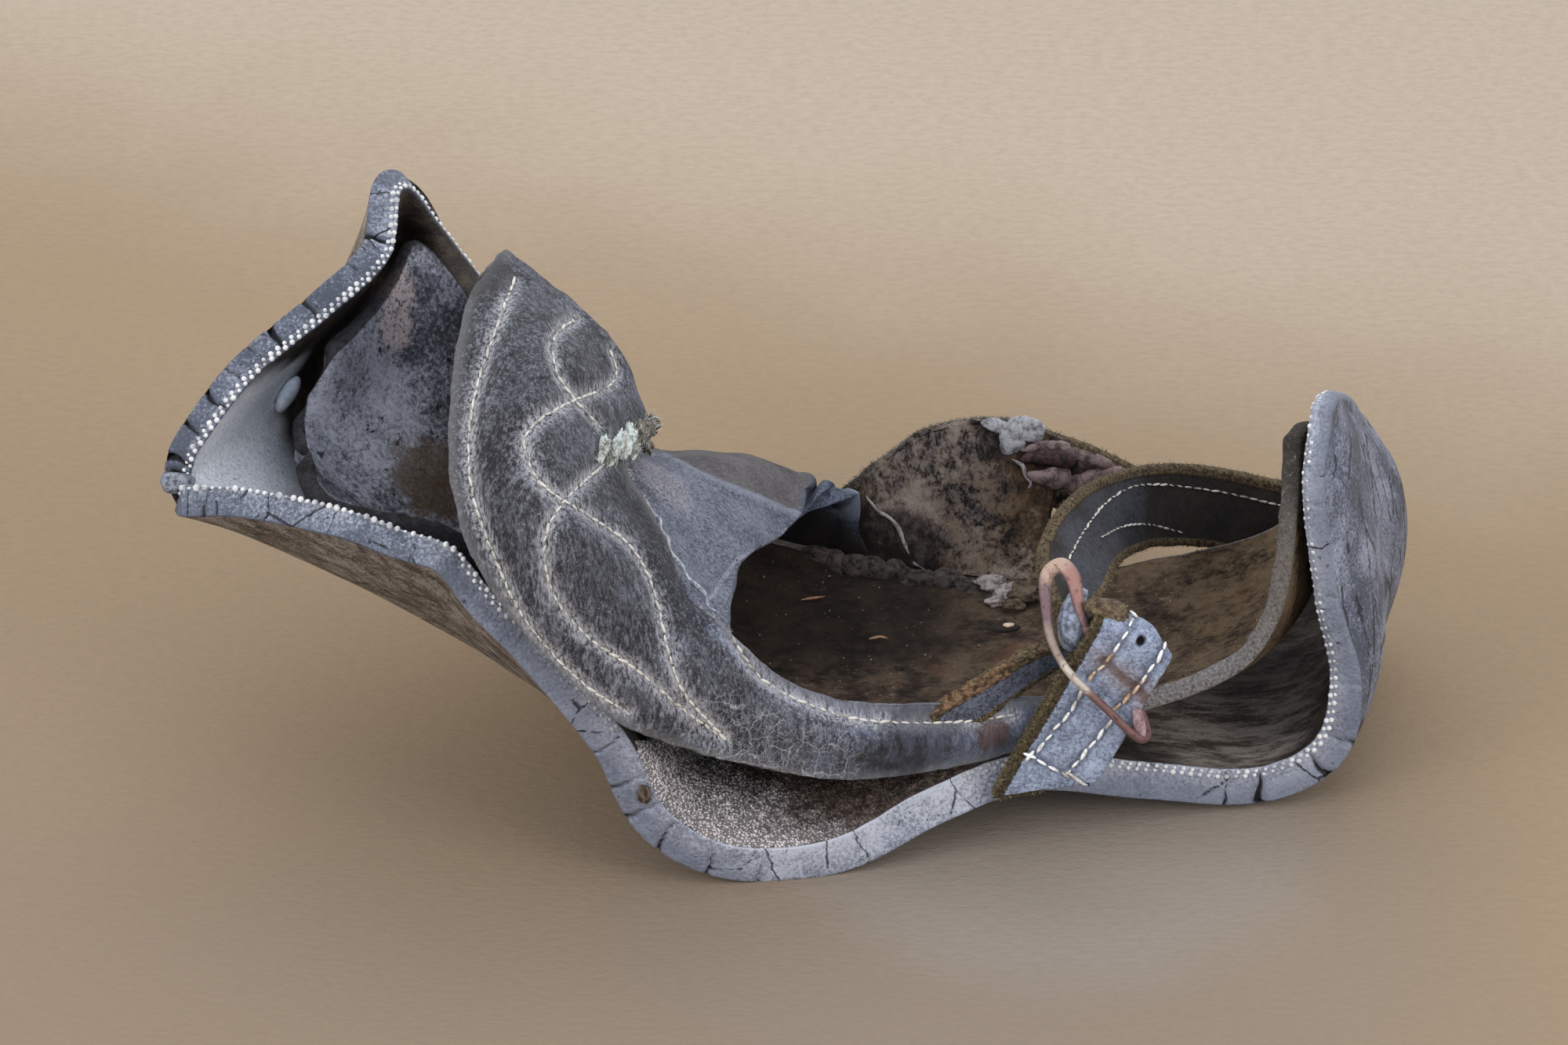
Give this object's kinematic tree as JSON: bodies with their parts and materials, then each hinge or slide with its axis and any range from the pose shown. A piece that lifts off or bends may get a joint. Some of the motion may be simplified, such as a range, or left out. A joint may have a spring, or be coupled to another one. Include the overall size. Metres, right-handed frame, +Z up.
{
  "type": "curled strap sandal",
  "caption": "Old leather sandal with a rubber sole, an open toe, a stitched vamp and a buckled rear strap, dried out and curled so that the toe and the heel stand up off the ground.",
  "frame": {"origin": "on the ground, in the worn flat under the ball of the sole", "axes": "+X from the toe to the heel, -Y towards the side with the buckle, +Z up"},
  "size_m": [0.1992, 0.1001, 0.0947],
  "materials": {
    "sole_rubber": "cracked, dusty",
    "insole_leather": "worn, fibrous",
    "upper_leather": "dry, scuffed",
    "tab_leather": "dry, napped",
    "buckle_wire": "rusted"
  },
  "bodies": {
    "root": {"outsole": "sole_rubber", "insole": "insole_leather", "upper": "upper_leather", "buckle_tab": "tab_leather", "buckle_frame": "buckle_wire"}
  },
  "joints": []
}
